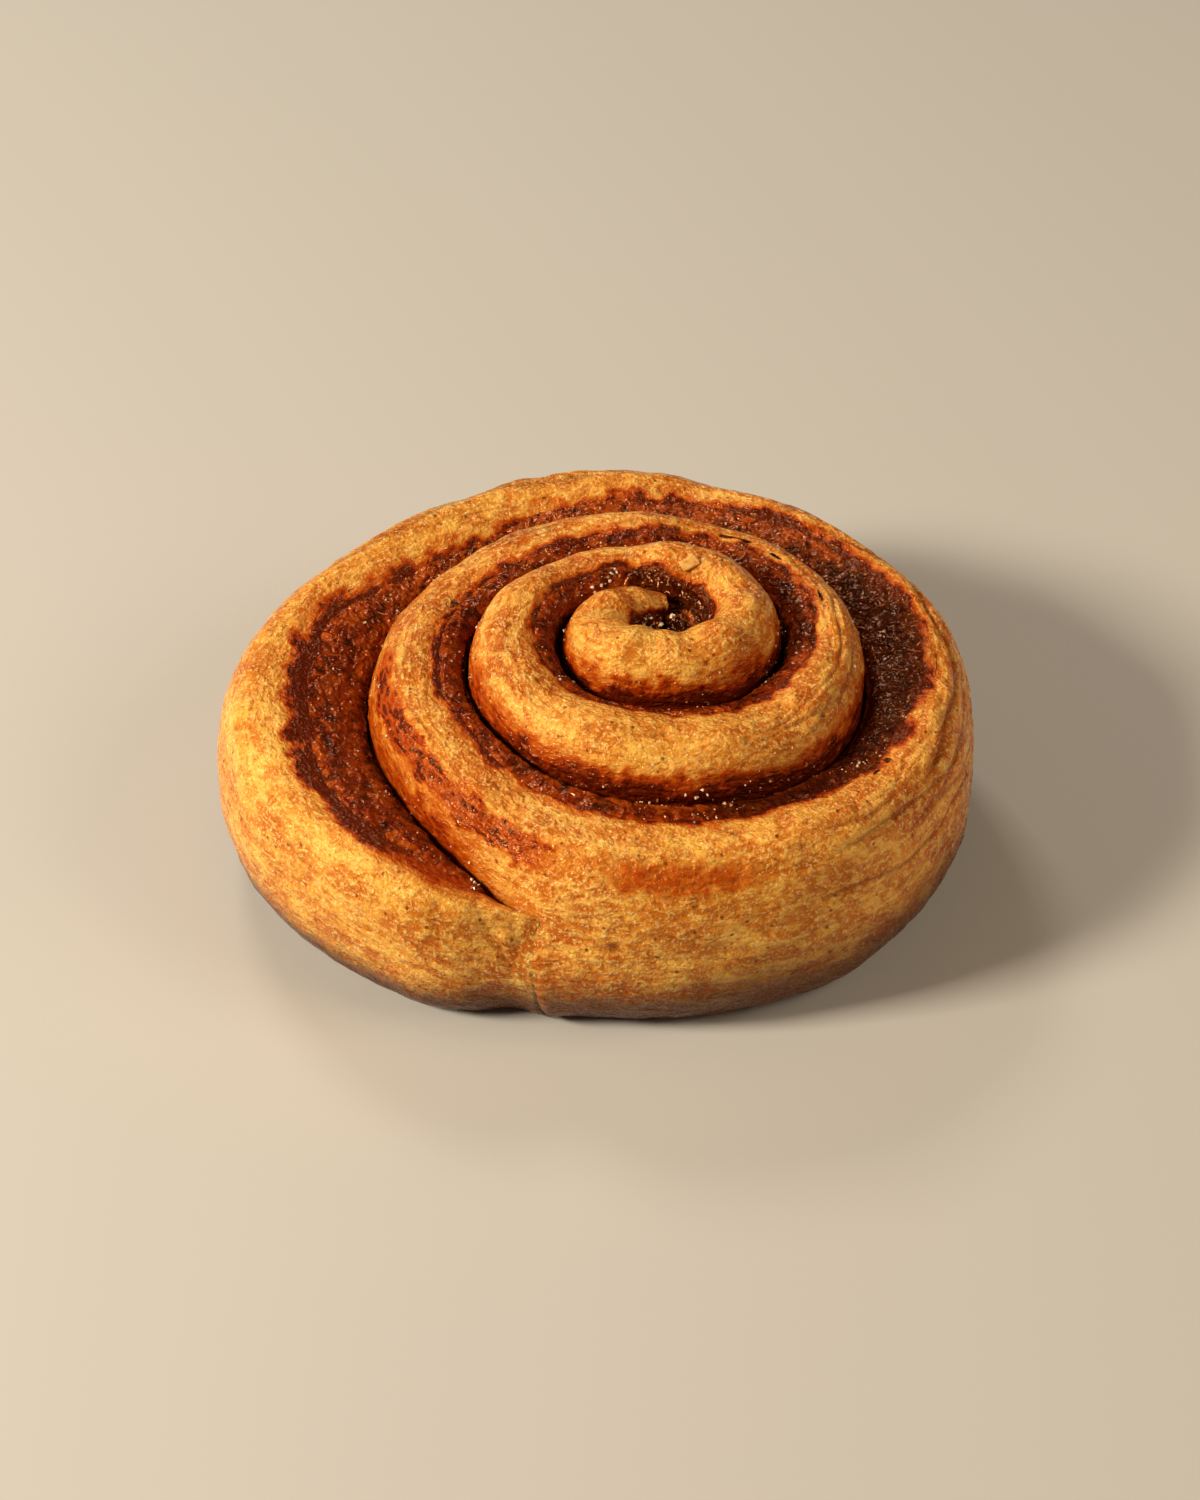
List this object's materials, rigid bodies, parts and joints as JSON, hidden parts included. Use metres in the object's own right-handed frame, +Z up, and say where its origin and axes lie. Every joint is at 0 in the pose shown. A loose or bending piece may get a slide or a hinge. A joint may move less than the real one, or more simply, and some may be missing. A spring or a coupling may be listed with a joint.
{
  "type": "cinnamon roll",
  "caption": "Round baked cinnamon roll: a strip of golden dough wound into a spiral with dark cinnamon filling between its turns.",
  "frame": {"origin": "middle of the roll's outline seen from above, on the surface it rests on", "axes": "+Z up through the roll, +X to the right of the picture along its longest measure, the open end of the dough strip at the front left (-X, -Y)"},
  "size_m": [0.1096, 0.095, 0.0419],
  "materials": {
    "dough_crust": "baked golden brown crust, soft sheen",
    "cinnamon_filling": "dark red-brown cinnamon sugar paste, wet and rough"
  },
  "bodies": {
    "root": {"dough": "dough_crust", "filling": "cinnamon_filling"}
  },
  "joints": []
}
